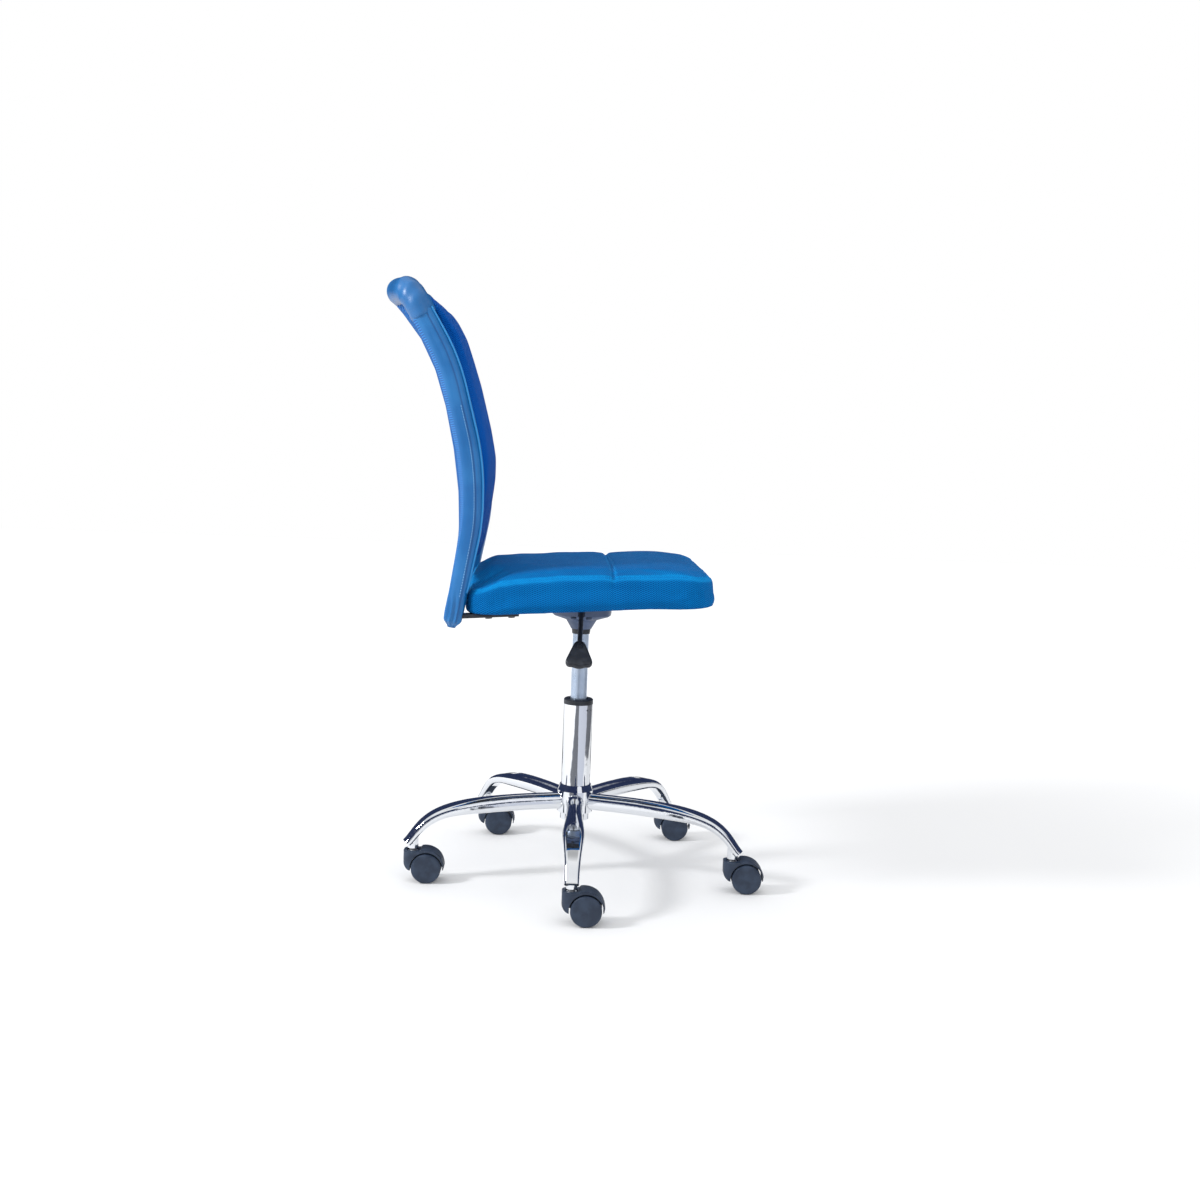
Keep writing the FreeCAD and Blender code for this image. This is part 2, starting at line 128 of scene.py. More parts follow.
class Finish(Tree):
    # a material: constants go straight on the shader's sockets, patterns are linked to them
    def __init__(self, name, constants):
        self.material = bpy.data.materials.new(name)
        self.material.use_nodes = True
        tree = self.material.node_tree
        tree.nodes.clear()
        super().__init__(tree.nodes, tree.links)
        self.shader = tree.nodes.new("ShaderNodeBsdfPrincipled")
        output = tree.nodes.new("ShaderNodeOutputMaterial")
        self.links.new(self.shader.outputs[0], output.inputs["Surface"])
        for key, value in constants.items():
            self.shader.inputs[key].default_value = value

    def place(self, scale=1.0, uv=None):
        if uv:
            where = self.node("UVMap", {"uv_map": uv})
        else:
            where = self.node("TexCoord", out="Object")
        if scale == 1.0:
            return where
        return self.node("VectorMath", {"operation": "SCALE"}, {"Vector": where, "Scale": scale})

    def axis(self, where, letter):
        return self.node("SeparateXYZ", {}, [where], out=letter)

    def noise(self, where, scale, detail=3.0, rough=0.5):
        inputs = {"Vector": where, "Scale": scale, "Detail": detail, "Roughness": rough}
        return self.node("TexNoise", {}, inputs)

    def cells(self, where, scale):
        return self.node("TexVoronoi", {"feature": "F1"}, {"Vector": where, "Scale": scale})

    def mix(self, share, first, second):
        # a Mix node keeps one set of sockets for each kind of data: 6, 7 and 2 are its colours
        inputs = {0: share, 6: first, 7: second}
        return self.node("Mix", {"data_type": "RGBA"}, inputs, out=2)

    def bump(self, height, distance, strength):
        return self.node("Bump", {}, {"Height": height, "Distance": distance, "Strength": strength})

    def done(self, **sockets):
        for key, value in sockets.items():
            name = {"color": "Base Color", "roughness": "Roughness", "normal": "Normal",
                    "emission": "Emission Color"}[key]
            self.links.new(value.socket, self.shader.inputs[name])
        return self.material


def rgba(r, g, b):
    return (r, g, b, 1.0)


def at(x, forward, z):
    return Vector((x * mm, -forward * mm, z * mm))


def eased(value, low, high):
    share = min(1.0, max(0.0, (value - low) / (high - low)))
    return share * share * (3 - 2 * share)


def between(value, table, column=1):
    # straight interpolation in a table whose rows start with a place
    for low, high in zip(table, table[1:]):
        if value <= high[0]:
            share = max(0.0, (value - low[0]) / (high[0] - low[0]))
            return low[column] + (high[column] - low[column]) * share
    return table[-1][column]


def respaced(line, step=None, count=None):
    # evenly spaced points along a line: about step apart, or count spaces
    lengths = [0.0]
    for a, b in zip(line, line[1:]):
        lengths.append(lengths[-1] + (b - a).length)
    if not count:
        count = max(2, round(lengths[-1] / step))
    points = []
    k = 0
    for i in range(count + 1):
        target = lengths[-1] * i / count
        while k < len(line) - 2 and lengths[k + 1] < target:
            k += 1
        share = (target - lengths[k]) / max(1e-9, lengths[k + 1] - lengths[k])
        points.append(line[k].lerp(line[k + 1], share))
    return points


def filleted(points, radii, step):
    # straight runs joined by tangent arcs, as evenly spaced points
    line = [points[0]]
    for i, radius in enumerate(radii):
        corner = points[i + 1]
        back = (points[i] - corner).normalized()
        ahead = (points[i + 2] - corner).normalized()
        half = back.angle(ahead) / 2
        reach = radius * mm / math.tan(half)
        centre = corner + (back + ahead).normalized() * (radius * mm / math.sin(half))
        a = corner + back * reach - centre
        b = corner + ahead * reach - centre
        turn = a.angle(b)
        for k in range(25):
            share = k / 24
            reached = a * math.sin((1 - share) * turn) + b * math.sin(share * turn)
            line.append(centre + reached / math.sin(turn))
    line.append(points[-1])
    return respaced(line, step)


def tangents(line):
    ends = [line[0]] + list(line) + [line[-1]]
    return [(ends[i + 2] - ends[i]).normalized() for i in range(len(line))]


def meshObject(name, built):
    bmesh.ops.recalc_face_normals(built, faces=built.faces)
    data = bpy.data.meshes.new(name)
    built.to_mesh(data)
    built.free()
    return shown(name, data)


def shown(name, data):
    for face in data.polygons:
        face.use_smooth = True
    piece = bpy.data.objects.new(name, data)
    bpy.context.scene.collection.objects.link(piece)
    return piece


def ringMesh(name, rings, capped=True, closed=True, marks=None):
    # marks gives each ring point a (u, v) place, in metres, kept in the piece's own UV map
    built = bmesh.new()
    rows = [[built.verts.new(point) for point in ring] for ring in rings]
    count = len(rings[0])
    faces = []
    for j, (low, high) in enumerate(zip(rows, rows[1:])):
        for i in range(count if closed else count - 1):
            k = (i + 1) % count
            face = built.faces.new((low[i], low[k], high[k], high[i]))
            faces.append((face, ((j, i), (j, i + 1), (j + 1, i + 1), (j + 1, i))))
    if capped:
        for row in (rows[0], rows[-1]):
            middle = built.verts.new(sum((v.co for v in row), Vector()) / count)
            for i in range(count):
                built.faces.new((row[i], row[(i + 1) % count], middle))
    if marks:
        layer = built.loops.layers.uv.new("along")
        for face, corners in faces:
            for loop, (j, i) in zip(face.loops, corners):
                loop[layer].uv = marks(j, i)
    return meshObject(name, built)


def tubeAlong(name, line, radius, sides=10):
    rings = []
    side = Vector((1, 0, 0))
    for point, ahead in zip(line, tangents(line)):
        side = (side - ahead * side.dot(ahead)).normalized()
        other = ahead.cross(side)
        ring = []
        for i in range(sides):
            angle = tau * i / sides
            ring.append(point + (side * math.cos(angle) + other * math.sin(angle)) * radius)
        rings.append(ring)
    return ringMesh(name, rings)


def plain(piece):
    # the piece with its modifiers worked into its mesh
    view = bpy.context.evaluated_depsgraph_get()
    data = bpy.data.meshes.new_from_object(piece.evaluated_get(view))
    piece.modifiers.clear()
    old = piece.data
    piece.data = data
    bpy.data.meshes.remove(old)
    for face in data.polygons:
        face.use_smooth = True


def modified(piece, kind, **settings):
    step = piece.modifiers.new(kind.lower(), kind)
    for key, value in settings.items():
        setattr(step, key, value)
    plain(piece)


def settle(piece, look, body, slotName, *replaced):
    piece.data.materials.clear()
    piece.data.materials.append(look)
    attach(piece, body)
    if replaced:
        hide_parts(*replaced)


def swelled(piece, sewn):
    # the sewn cover blown up by its filling; the points that "held" names keep their place
    modified(piece, "REMESH", mode="VOXEL", voxel_size=sewn["voxel"])
    rest = [v.co.copy() for v in piece.data.vertices]
    group = piece.vertex_groups.new(name="held")
    fixed = [i for i, place in enumerate(rest) if sewn["held"](place)]
    group.add(fixed, 1.0, "REPLACE")
    cloth = piece.modifiers.new("cloth", "CLOTH")
    cloth.settings.quality = 4
    cloth.settings.mass = 0.3
    cloth.settings.tension_stiffness = 15
    cloth.settings.compression_stiffness = 15
    cloth.settings.bending_stiffness = 0.5
    cloth.settings.use_pressure = True
    cloth.settings.uniform_pressure_force = sewn["pressure"]
    cloth.settings.effector_weights.gravity = 0
    cloth.settings.vertex_group_mass = "held"
    cloth.collision_settings.use_collision = False
    cloth.point_cache.frame_end = sewn["frames"]
    for number in range(1, sewn["frames"] + 1):
        bpy.context.scene.frame_set(number)
    plain(piece)
    bpy.context.scene.frame_set(1)
    piece.vertex_groups.clear()
    for vertex, place in zip(piece.data.vertices, rest):
        move = vertex.co - place
        if move.length > sewn["cap"]:
            vertex.co = place + move * (sewn["cap"] / move.length)
    modified(piece, "SUBSURF", levels=1, render_levels=1)


def pressedIn(piece, amount):
    # moves each point inwards along its normal by what amount says of its place
    normals = [v.normal.copy() for v in piece.data.vertices]
    for vertex, normal in zip(piece.data.vertices, normals):
        vertex.co -= normal * amount(vertex.co)
    piece.data.update()


def repeatedTree():
    # small forms placed on the points of a mesh and turned by two vectors stored with each point
    tree = bpy.data.node_groups.new("repeated forms", "GeometryNodeTree")
    face = tree.interface
    face.new_socket("Points", in_out="INPUT", socket_type="NodeSocketGeometry")
    face.new_socket("Size", in_out="INPUT", socket_type="NodeSocketVector")
    face.new_socket("Size spread", in_out="INPUT", socket_type="NodeSocketFloat")
    face.new_socket("Seed", in_out="INPUT", socket_type="NodeSocketInt")
    face.new_socket("Material", in_out="INPUT", socket_type="NodeSocketMaterial")
    face.new_socket("Forms", in_out="OUTPUT", socket_type="NodeSocketGeometry")
    build = Tree(tree.nodes, tree.links)
    given = tree.nodes.new("NodeGroupInput")
    wires = {name: Wire(build, given.outputs[name])
             for name in ("Points", "Size", "Size spread", "Seed", "Material")}
    form = build.node("GeometryNodeMeshUVSphere", {}, {"Segments": 8, "Rings": 5, "Radius": 0.5})
    vector = {"data_type": "FLOAT_VECTOR"}
    normal = build.node("GeometryNodeInputNamedAttribute", vector, {"Name": "outwards"})
    ahead = build.node("GeometryNodeInputNamedAttribute", vector, {"Name": "ahead"})
    turn = build.node("FunctionNodeAxesToRotation", {"primary_axis": "Z", "secondary_axis": "X"},
                      {"Primary Axis": normal, "Secondary Axis": ahead})
    low = 1.0 - wires["Size spread"]
    high = 1.0 + wires["Size spread"]
    spread = build.node("FunctionNodeRandomValue", {"data_type": "FLOAT"},
                        {2: low, 3: high, "Seed": wires["Seed"]}, out=1)
    size = build.node("VectorMath", {"operation": "SCALE"}, {"Vector": wires["Size"], "Scale": spread})
    placed = build.node("GeometryNodeInstanceOnPoints", {},
                        {"Points": wires["Points"], "Instance": form, "Rotation": turn, "Scale": size})
    real = build.node("GeometryNodeRealizeInstances", {}, {"Geometry": placed})
    done = build.node("GeometryNodeSetMaterial", {}, {"Geometry": real, "Material": wires["Material"]})
    result = tree.nodes.new("NodeGroupOutput")
    tree.links.new(done.socket, result.inputs["Forms"])
    return tree


repeatedForms = repeatedTree()


def repeated(name, places, size, look, body, spread=0.0, seed=1):
    # places: (point, outward direction, direction along the row)
    data = bpy.data.meshes.new(name)
    data.from_pydata([p for p, _, _ in places], [], [])
    for key, column in (("outwards", 1), ("ahead", 2)):
        stored = data.attributes.new(key, "FLOAT_VECTOR", "POINT")
        for i, row in enumerate(places):
            stored.data[i].vector = row[column]
    piece = bpy.data.objects.new(name, data)
    bpy.context.scene.collection.objects.link(piece)
    step = piece.modifiers.new("forms", "NODES")
    step.node_group = repeatedForms
    values = {"Size": size, "Size spread": spread, "Seed": seed, "Material": look}
    for item in repeatedForms.interface.items_tree:
        if item.in_out == "INPUT" and item.name in values:
            step[item.identifier] = values[item.name]
    plain(piece)
    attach(piece, body)
    return piece


def chromeLook():
    constants = {"Base Color": rgba(0.80, 0.82, 0.85), "Metallic": 1.0, "Specular IOR Level": 0.5}
    look = Finish("chrome", constants)
    place = look.place()
    wave = look.noise(place, 26.0, 2.0)
    smear = look.noise(place, 240.0, 4.0, 0.65)
    bump = look.bump(wave, 0.0012, 0.35)
    return look.done(roughness=smear.smooth(0.35, 0.75, 0.035, 0.11), normal=bump)


def mouldedLook(name, low, high, rough, grain):
    # moulded plastic: fine grain and a little mottling
    look = Finish(name, {"Specular IOR Level": 0.45})
    place = look.place()
    mottle = look.noise(place, 60.0, 4.0)
    fine = look.cells(place, grain)
    color = look.mix(mottle.smooth(0.35, 0.7), low, high)
    bump = look.bump(fine, 0.00025, 0.35)
    return look.done(color=color, roughness=mottle.smooth(0.3, 0.7, rough - 0.06, rough + 0.08), normal=bump)


def steelLook(name, color, rough, stretch):
    look = Finish(name, {"Metallic": 1.0, "Base Color": color})
    place = look.node("Mapping", {}, {"Vector": look.place(), "Scale": stretch})
    lines = look.noise(place, 1.0, 3.0, 0.6)
    bump = look.bump(lines, 0.0001, 0.25)
    return look.done(roughness=lines.smooth(0.3, 0.7, rough - 0.07, rough + 0.1), normal=bump)


def cylinderLook():
    # ground steel with a bluish film of oil, ringed by fine turning marks
    look = Finish("ground steel", {"Metallic": 0.75})
    place = look.node("Mapping", {}, {"Vector": look.place(), "Scale": (20.0, 20.0, 1500.0)})
    lines = look.noise(place, 1.0, 2.0)
    film = look.noise(look.place(), 30.0, 3.0)
    color = look.mix(film.smooth(0.35, 0.65), rgba(0.37, 0.45, 0.57), rgba(0.50, 0.58, 0.70))
    return look.done(color=color, roughness=film.smooth(0.3, 0.7, 0.26, 0.36),
                     normal=look.bump(lines, 0.00008, 0.3))


def paintLook(name, low, high, rough):
    # powder coat: a shallow orange peel and a little clouding
    look = Finish(name, {"Specular IOR Level": 0.5})
    place = look.place()
    peel = look.noise(place, 900.0, 2.0)
    cloud = look.noise(place, 35.0, 4.0)
    color = look.mix(cloud.smooth(0.3, 0.75), low, high)
    return look.done(color=color, roughness=cloud.smooth(0.3, 0.7, rough - 0.05, rough + 0.07),
                     normal=look.bump(peel, 0.0003, 0.3))


def woodLook():
    look = Finish("birch board", {"Specular IOR Level": 0.3})
    place = look.node("Mapping", {}, {"Vector": look.place(), "Scale": (6.0, 90.0, 700.0)})
    grain = look.noise(place, 1.0, 5.0, 0.6)
    color = look.mix(grain.smooth(0.3, 0.7), rgba(0.42, 0.26, 0.13), rgba(0.66, 0.48, 0.29))
    return look.done(color=color, roughness=grain.smooth(0.3, 0.7, 0.55, 0.75),
                     normal=look.bump(grain, 0.0004, 0.4))


def feltLook():
    # non-woven backing cloth with its grid of pressed points
    look = Finish("backing cloth", {"Specular IOR Level": 0.15, "Sheen Weight": 0.2})
    place = look.place()
    fibres = look.noise(place, 700.0, 5.0, 0.7)
    pitch = 0.0028
    across = (look.axis(place, "X") * (tau / pitch)).sin()
    along = (look.axis(place, "Y") * (tau / pitch)).sin()
    points = (across * along).smooth(0.3, 0.9)
    color = look.mix(fibres.smooth(0.3, 0.7), rgba(0.012, 0.013, 0.017), rgba(0.04, 0.042, 0.05))
    return look.done(color=color, roughness=fibres.smooth(0.3, 0.7, 0.75, 0.95),
                     normal=look.bump(fibres * 0.6 - points, 0.0004, 0.5))


def foamLook():
    look = Finish("foam", {"Specular IOR Level": 0.1})
    place = look.place()
    pores = look.cells(place, 900.0)
    color = look.mix(pores.smooth(0.1, 0.6), rgba(0.55, 0.52, 0.42), rgba(0.82, 0.8, 0.7))
    return look.done(color=color, roughness=pores.smooth(0.1, 0.6, 0.8, 0.95),
                     normal=look.bump(pores, 0.0006, 0.6))


weave = {
    "repeat": 0.0082,         # across one whole zigzag
    "thread": 0.0031,
    "slope": 0.95,            # threads climbed in half a zigzag
    "deep": (0.0, 0.030, 0.140),
    "bright": (0.001, 0.160, 0.455),
    # pale: the colour of the painted highlight on the slope between the seat's side and top
    "pale": (0.004, 0.230, 0.560),
}


def meshCloth(name, deep, bright, pale):
    # open herringbone weave: rows of diagonal threads that change direction every half repeat
    look = Finish(name, {"Specular IOR Level": 0.04})
    spot = look.place(uv="weave")
    wander = look.noise(look.place(), 90.0, 2.0)
    u = look.axis(spot, "X") / weave["repeat"]
    v = look.axis(spot, "Y") / weave["thread"] + wander * 0.35
    zigzag = (u.fract() - 0.5).absolute() * 2.0
    thread = ((v + zigzag * weave["slope"]) * tau).sin() * 0.5 + 0.5
    turnings = (zigzag * math.pi).sin()
    twist = ((v * 2.0 - zigzag * 3.0) * tau).sin() * 0.5 + 0.5
    height = thread * 0.8 + turnings * 0.15 + twist * 0.12
    cloud = look.noise(look.place(), 14.0, 3.0)
    share = (height * 0.8 + cloud * 0.25).smooth(0.15, 1.0)
    color = look.mix(share, rgba(*deep), rgba(*bright))
    # painted highlight: paler by the share stored with each point, for the light caught on the seat's ridge
    ridge_highlight_share = look.node("Attribute", {"attribute_type": "GEOMETRY", "attribute_name": "ridge_highlight_share"}, out="Fac")
    color = look.mix(ridge_highlight_share, color, rgba(*pale))
    return look.done(color=color, roughness=height.smooth(0.0, 1.0, 0.9, 0.7),
                     normal=look.bump(height, 0.0009, 0.8))


ribs = {
    "pitch": 0.0036,
    "thread": 0.0022,
    "slant": 0.022,           # across which a rib climbs one pitch, on the panel
    "stripSlant": 0.03,       # and on the strips
}


def ribbedCloth():
    # the stretched back mesh: fine ribs across, crossed by thinner threads
    look = Finish("ribbed mesh", {"Specular IOR Level": 0.1})
    spot = look.place(uv="along")
    u = look.axis(spot, "X")
    v = look.axis(spot, "Y")
    wander = look.noise(look.place(), 60.0, 2.0)
    across = ((v / ribs["pitch"] + u / ribs["slant"] + wander * 0.3) * tau).sin() * 0.5 + 0.5
    threads = ((u / ribs["thread"]) * tau).sin() * 0.5 + 0.5
    height = across * 0.8 + threads * 0.2
    color = look.mix(height.smooth(0.1, 0.9), rgba(0.0, 0.045, 0.20), rgba(0.004, 0.135, 0.43))
    return look.done(color=color, roughness=height.smooth(0.0, 1.0, 0.75, 0.5),
                     normal=look.bump(height, 0.0008, 0.7))


def leatherPattern(look, low, high):
    # fine grain and creases, with a slow change of colour and gloss
    place = look.place()
    grain = look.cells(place, 650.0)
    pores = look.noise(place, 1200.0, 2.0)
    cloud = look.noise(place, 18.0, 3.0)
    creases = look.noise(place, 120.0, 3.0, 0.6)
    height = grain * 0.6 + pores * 0.2 + creases * 0.9
    color = look.mix(cloud.smooth(0.3, 0.7), low, high)
    rough = cloud.smooth(0.3, 0.7, 0.30, 0.42)
    return color, rough, height


def leatherLook():
    constants = {"Specular IOR Level": 0.5, "Coat Roughness": 0.3, "Coat Weight": 0.15}
    look = Finish("blue leathercloth", constants)
    color, rough, height = leatherPattern(look, rgba(0.002, 0.080, 0.245), rgba(0.005, 0.105, 0.300))
    return look.done(color=color, roughness=rough, normal=look.bump(height, 0.0005, 0.4))


def stripLook():
    # the side strip: leathercloth with one seam, and the ribbed mesh drawn round its rear side
    look = Finish("side strip", {"Specular IOR Level": 0.5, "Coat Roughness": 0.3})
    color, rough, height = leatherPattern(look, rgba(0.002, 0.091, 0.282), rgba(0.005, 0.124, 0.345))
    spot = look.place(uv="along")
    u = look.axis(spot, "X")
    v = look.axis(spot, "Y")
    across = ((v / ribs["pitch"] + u / ribs["stripSlant"]) * tau).sin() * 0.5 + 0.5
    meshColor = look.mix(across, rgba(0.0, 0.060, 0.24), rgba(0.012, 0.17, 0.47))
    share = u.smooth(back["hem"] * mm - 0.0005, back["hem"] * mm + 0.0005)
    seam = (u - back["seam"] * mm).absolute().smooth(0.0006, 0.0016, 1.0, 0.0)
    color = look.mix(seam * 0.55, color, rgba(0.0, 0.040, 0.17))
    allColor = look.mix(share, meshColor, color)
    allHeight = across * (1.0 - share) * 1.5 + (height - seam * 1.5) * share
    allRough = (1.0 - share) * 0.6 + rough * share
    return look.done(color=allColor, roughness=allRough, normal=look.bump(allHeight, 0.0005, 0.45))


def threadLook(name, color):
    look = Finish(name, {"Specular IOR Level": 0.4})
    place = look.place()
    twist = look.noise(place, 1500.0, 2.0)
    mixed = look.mix(twist.smooth(0.3, 0.7), rgba(*[0.75 * c for c in color]), rgba(*color))
    return look.done(color=mixed, roughness=twist.smooth(0.3, 0.7, 0.4, 0.6),
                     normal=look.bump(twist, 0.0001, 0.4))


looks = {
    "chrome": chromeLook(),
    "black_plastic": mouldedLook("black plastic", rgba(0.009, 0.011, 0.016), rgba(0.020, 0.024, 0.032),
                                 0.36, 1800.0),
    "steel": steelLook("zinc-plated steel", rgba(0.55, 0.56, 0.57), 0.34, (300.0, 300.0, 40.0)),
    "grey_cylinder": cylinderLook(),
    "seal_rubber": mouldedLook("rubber", rgba(0.010, 0.010, 0.011), rgba(0.022, 0.022, 0.024), 0.62, 1500.0),
    # the swivel plate's grey is darkened by about half as painted shade, for the shade under the seat
    "grey_paint": paintLook("grey powder coat darkened as painted shade", rgba(0.040, 0.068, 0.135), rgba(0.068, 0.100, 0.185), 0.34),
    "plywood": woodLook(),
    "black_cloth": feltLook(),
    "foam": foamLook(),
    "blue_mesh": meshCloth("blue mesh", weave["deep"], weave["bright"], weave["pale"]),
    "blue_leather": leatherLook(),
    "black_paint": paintLook("black powder coat", rgba(0.010, 0.012, 0.018), rgba(0.022, 0.026, 0.036),
                             0.40),
    "slate_nylon": mouldedLook("slate nylon", rgba(0.011, 0.021, 0.043), rgba(0.022, 0.038, 0.070),
                               0.48, 1400.0),
}
slotOf = {row["node"]: row["material_slot"] for row in frame["record"]["subparts"]}
for nodeName, piece in nodes.items():
    piece.data.materials.clear()
    piece.data.materials.append(looks[slotOf[nodeName]])
looks["black steel"] = paintLook("blackened steel", rgba(0.010, 0.011, 0.013), rgba(0.030, 0.031, 0.034),
                                 0.38)
nodes["seat_bolts"].data.materials[0] = looks["black steel"]
print("materials made")


def roundedOutline(width, depth, corner, count):
    # evenly spaced points round a rounded rectangle, starting in the middle of its +x side
    a = width / 2 - corner
    b = depth / 2 - corner
    corners = ((a, b, 0.0), (-a, b, 0.25), (-a, -b, 0.5), (a, -b, 0.75))
    line = [Vector((width / 2, 0, 0))]
    for x, y, start in corners:
        for k in range(13):
            angle = tau * (start + 0.25 * k / 12)
            line.append(Vector((x + corner * math.cos(angle), y + corner * math.sin(angle), 0)))
    line.append(Vector((width / 2, 0, 0)))
    return respaced(line, count=count)[:-1]


# The seat: a boxed cushion with one seam across its top.
seat = {
    "tilt": math.radians(4.15), "underside": 484.5, "middle": 10.5,
    "width": 407.0, "depth": 408.0, "corner": 50.0, "side": 57.5,
    # height as a share of the side, how far in from the edge
    "profile": ((0.0, 26), (-0.045, 21), (-0.05, 9), (-0.01, 4.5), (0.07, 2.5), (0.2, 1), (0.45, 0),
                (0.75, 0.5), (0.9, 3), (0.965, 7.5), (0.985, 13), (1.0, 24), (1.015, 45), (1.03, 80),
                (1.035, 120), (1.035, 165)),
    # forward, share of the height there: near the sides, then in the middle
    "rise": ((-200, 0.64), (-163, 0.78), (-132, 0.94), (-100, 1.0), (-37, 1.05), (30, 1.03), (48, 1.0),
             (90, 0.99), (140, 0.96), (175, 0.90), (218, 0.80)),
    "crown": ((-200, 0.95), (-180, 1.06), (-150, 1.14), (-110, 1.14), (-60, 1.09), (-37, 1.07), (30, 1.04),
              (48, 1.02), (90, 1.0), (140, 0.96), (175, 0.90), (218, 0.80)),
    "around": 180,            # points in each ring
    "seam": 48.0,             # the seam across the top, forward of the column
    "seamDepth": 4.2,
    "ridgeInset": 12.0,       # the seam between side and top
    "droop": 4.0,             # how far the cover hangs below the board in front
    "heldBelow": 2.5,         # the height up to which the board holds the cover
    "sewn": {"voxel": 0.0045, "pressure": 4.0, "cap": 0.004, "frames": 20},
}


def onSeat(x, forward, height):
    a = seat["tilt"]
    return at(x, forward * math.cos(a) - height * math.sin(a),
              seat["underside"] + forward * math.sin(a) + height * math.cos(a))


def offSeat(place):
    # (x, forward, height) in mm in the seat's own frame
    a = seat["tilt"]
    forward = -place.y / mm
    up = place.z / mm - seat["underside"]
    return place.x / mm, forward * math.cos(a) + up * math.sin(a), up * math.cos(a) - forward * math.sin(a)


def edgeDistance(x, forward):
    # how far in from the seat's outline
    a = seat["width"] / 2 + 3 - seat["corner"]
    b = seat["depth"] / 2 + 3 - seat["corner"]
    u = abs(x) - a
    v = abs(forward - seat["middle"]) - b
    outside = math.hypot(max(u, 0), max(v, 0)) + min(max(u, v), 0)
    return seat["corner"] - outside


def roundPlace(x, forward):
    # distance round the seat's outline, for the weave on its side
    a = seat["width"] / 2 - seat["corner"]
    b = seat["depth"] / 2 - seat["corner"]
    u = abs(x) - a
    v = abs(forward - seat["middle"]) - b
    arc = seat["corner"] * math.pi / 2
    if u > 0 and v > 0:
        along = b + seat["corner"] * math.atan2(v, u)
    elif u > v:
        along = b + v
    else:
        along = b + arc - u
    whole = a + b + arc
    if (x < 0) != (forward < seat["middle"]):
        along = 2 * whole - along
    if forward < seat["middle"]:
        along += 2 * whole
    return along


def seatSeams(place):
    # how far the sewing draws the cover in: across the top, down the sides and along the ridge
    x, forward, height = offSeat(place)
    inset = edgeDistance(x, forward)
    top = eased(inset, 3, 16) * (1 if height > 20 else 0)
    away = forward - seat["seam"]
    across = seat["seamDepth"] * math.exp(-(away / 3.6) ** 2) + 1.3 * math.exp(-(away / 14) ** 2)
    side = 0.7 * math.exp(-(away / 2.4) ** 2)
    ridge = 1.3 * math.exp(-((inset - seat["ridgeInset"]) / 2.4) ** 2) * (1 if height > 25 else 0)
    soft = 1.4 * noise.noise(place * 9.0) + 0.5 * noise.noise(place * 30.0)
    held = eased(height, 2, 12)
    return (across * top + side * (1 - top) + ridge + soft * 0.8) * held * mm


def weaveMap(piece, kind):
    # puts the cloth's own threads on the piece: kind gives two lengths for a point of a face
    layer = piece.data.uv_layers.new(name="weave")
    for face in piece.data.polygons:
        spots = [kind(piece.data.vertices[i].co, face.normal) for i in face.vertices]
        for loop, spot in zip(face.loop_indices, spots):
            layer.data[loop].uv = spot


def seatThreads(place, normal):
    x, forward, height = offSeat(place)
    if abs(normal.z) > 0.72:
        return x * mm, forward * mm
    return roundPlace(x, forward) * mm, height * mm


def makeSeat():
    rings = []
    for share, inset in seat["profile"]:
        width = seat["width"] - 2 * inset
        depth = seat["depth"] - 2 * inset
        corner = min(seat["corner"] + 0.1 * inset, 0.45 * depth)
        ring = []
        for spot in roundedOutline(width, depth, corner, seat["around"]):
            forward = seat["middle"] + spot.y
            side = eased(abs(spot.x), 90, 175)
            rise = between(forward, seat["rise"]) * side + between(forward, seat["crown"]) * (1 - side)
            height = share * seat["side"] * rise
            if share < 0.05:
                height -= seat["droop"] * eased(forward, 90, 200)
            ring.append(onSeat(spot.x, forward, height))
        rings.append(ring)
    cushion = ringMesh("seat_cushion", rings)
    sewn = dict(seat["sewn"], held=lambda place: offSeat(place)[2] < seat["heldBelow"])
    swelled(cushion, sewn)
    pressedIn(cushion, seatSeams)
    weaveMap(cushion, seatThreads)
    # painted highlight: paler on the slope between side and top, by how far each point faces up, for the
    # light caught on the ridge
    ridge_highlight_share = cushion.data.attributes.new("ridge_highlight_share", "FLOAT", "POINT")
    for i, vertex in enumerate(cushion.data.vertices):
        height = offSeat(vertex.co)[2]
        ridge_highlight_share.data[i].value = 0.6 * math.exp(-((vertex.normal.z - 0.62) / 0.2) ** 2) * eased(height, 25, 40)
    settle(cushion, looks["blue_mesh"], "seat", "blue_mesh", "seat_cover", "seat_foam")


# The back: side strips and top roll round the tube, ribbed mesh behind, boxed pad in front.
back = {
    "side": ((-211, 462), (-186, 618), (-187, 712), (-228, 868), (-292, 978.5)),
    "radii": [300, 420, 330],
    "offset": 168.0,
    "drop": 15.0,
    "strapEnd": 46.0,
    "cornerRadius": 34, "bowRadius": 150, "bow": 31.0,
    "stripWidth": 37.0,
    # height, depth of the strip front to rear, how far its middle is in front of the tube
    "strip": ((445, 26, 0), (470, 28, 0), (520, 31, 1), (580, 33.5, 1.5), (640, 37, 1), (700, 39.5, 0),
              (880, 39, 0), (930, 38, 0), (985, 37, 0)),
    "stripAround": 56,        # points in each ring
    "hem": -13.5,             # where its leathercloth begins, forward of its middle
    "seam": 6.5,
    "weltOut": 13.5,          # the welt's place, outward of the strip's middle
    "weltRadius": 1.7,
    "weltFrom": 505,
    "stitchOut": 19.2,
    "stitchBehind": 2.6,      # behind the seam
    "stitchFrom": 500, "stitchTo": 800,
    "stitchStep": 4.4,
    "stitch": (3.0, 1.2, 1.2),
    "roll": 21.4,
    "rollAround": 44,
    "rollStep": 2.5,
}


def sideLine(x):
    points = [at(x, forward, z) for forward, z in back["side"]]
    points[0] += (points[0] - points[1]).normalized() * back["drop"] * mm
    overlap = 6               # of the strip under the end of the roll
    points[-1] += (points[-2] - points[-1]).normalized() * (back["strapEnd"] - overlap) * mm
    return filleted(points, back["radii"], 3 * mm)


